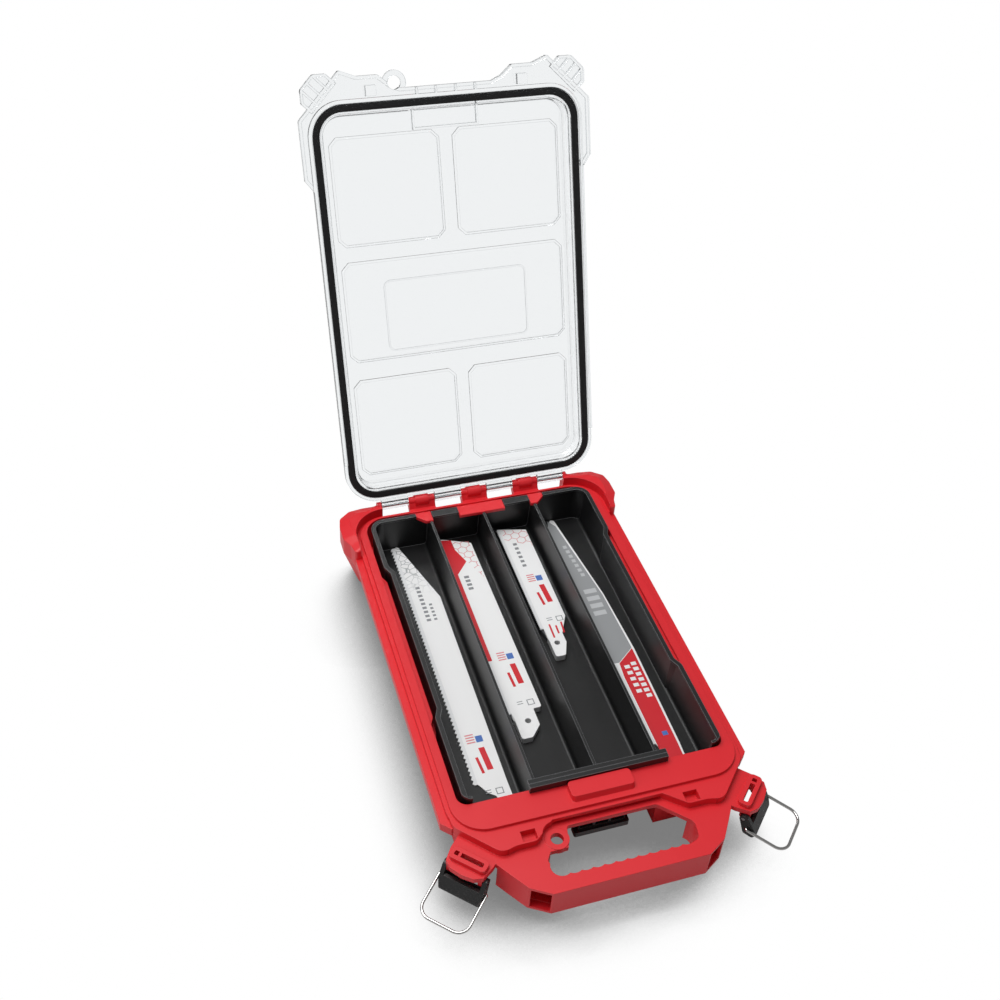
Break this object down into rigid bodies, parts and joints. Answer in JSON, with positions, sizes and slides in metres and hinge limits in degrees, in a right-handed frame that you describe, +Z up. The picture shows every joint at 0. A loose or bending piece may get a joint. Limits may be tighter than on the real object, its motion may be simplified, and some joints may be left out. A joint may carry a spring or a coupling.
{
  "type": "saw blade storage case",
  "caption": "Flat lockable case with a hinged clear lid, wire latches, a carry handle and a lane tray for reciprocating saw blades.",
  "frame": {"origin": "underside of the base, on the centre line and below the middle of the seal lip", "axes": "+Z up, -Y towards the handle, +Y towards the hinge, +X to the right of someone who faces the handle"},
  "size_m": [0.2858, 0.5147, 0.3926],
  "materials": {
    "red_plastic": "fine moulded texture",
    "black_plastic": "satin moulded",
    "clear_plastic": "clear polished polycarbonate",
    "seal_rubber": "smooth",
    "steel": "drawn rod",
    "steel_wire": "bright wire",
    "blade_steel": "painted steel strip",
    "tooth_steel": "ground steel"
  },
  "bodies": {
    "base": {"base_shell": "red_plastic", "hinge_rod": "steel", "insert_tray": "black_plastic", "lock_pin": "steel", "lever_pin_left": "steel", "lever_pin_right": "steel"},
    "lid": {"lid_shell": "clear_plastic", "lid_gasket": "seal_rubber"},
    "lock": {"stacking_lock": "black_plastic"},
    "lever_left": {"latch_lever_left": "black_plastic"},
    "lever_right": {"latch_lever_right": "black_plastic"},
    "bail_left": {"wire_bail_left": "steel_wire"},
    "bail_right": {"wire_bail_right": "steel_wire"},
    "blade_1": {"blade_1_back": "blade_steel", "blade_1_teeth": "tooth_steel"},
    "blade_2_stack": {"blade_2_spares": "blade_steel"},
    "blade_2": {"blade_2_back": "blade_steel", "blade_2_teeth": "tooth_steel"},
    "blade_3_stack": {"blade_3_spares": "blade_steel"},
    "blade_3": {"blade_3_back": "blade_steel", "blade_3_teeth": "tooth_steel"},
    "blade_4": {"blade_4_back": "blade_steel", "blade_4_teeth": "tooth_steel"}
  },
  "joints": [
    {"name": "lid_hinge", "type": "hinge", "parent": "base", "child": "lid", "pos_m": [0, 0.17166, 0.054], "axis": [-1, 0, 0], "range_deg": [-110.9, 0]},
    {"name": "latch_lever_left_hinge", "type": "hinge", "parent": "base", "child": "lever_left", "pos_m": [-0.10748, -0.1796, 0.031], "axis": [-0.7071, 0.7071, 0], "range_deg": [-38, 45]},
    {"name": "wire_bail_left_hinge", "type": "hinge", "parent": "lever_left", "child": "bail_left", "pos_m": [-0.11031, -0.18243, 0.023], "axis": [0.7071, -0.7071, 0], "range_deg": [-133, 30]},
    {"name": "latch_lever_right_hinge", "type": "hinge", "parent": "base", "child": "lever_right", "pos_m": [0.10748, -0.1796, 0.031], "axis": [-0.7071, -0.7071, 0], "range_deg": [-38, 45]},
    {"name": "wire_bail_right_hinge", "type": "hinge", "parent": "lever_right", "child": "bail_right", "pos_m": [0.11031, -0.18243, 0.023], "axis": [0.7071, 0.7071, 0], "range_deg": [-133, 30]},
    {"name": "stacking_lock_hinge", "type": "hinge", "parent": "base", "child": "lock", "pos_m": [-0.002, -0.1606, 0.0326], "axis": [1, 0, 0], "range_deg": [0, 15]},
    {"name": "blade_1_lift", "type": "hinge", "parent": "base", "child": "blade_1", "pos_m": [-0.0665, -0.152, 0.02305], "axis": [1, 0, 0], "range_deg": [0, 45]},
    {"name": "blade_4_lift", "type": "hinge", "parent": "base", "child": "blade_4", "pos_m": [0.0735, -0.152, 0.02305], "axis": [1, 0, 0], "range_deg": [0, 45]},
    {"name": "blade_2_stack_lift", "type": "slide", "parent": "base", "child": "blade_2_stack", "axis": [0, 0, 1], "range_m": [0, 0.07]},
    {"name": "blade_2_lift", "type": "slide", "parent": "blade_2_stack", "child": "blade_2", "axis": [0, 0, 1], "range_m": [0, 0.07]},
    {"name": "blade_3_stack_lift", "type": "slide", "parent": "base", "child": "blade_3_stack", "axis": [0, 0, 1], "range_m": [0, 0.07]},
    {"name": "blade_3_lift", "type": "slide", "parent": "blade_3_stack", "child": "blade_3", "axis": [0, 0, 1], "range_m": [0, 0.07]}
  ]
}
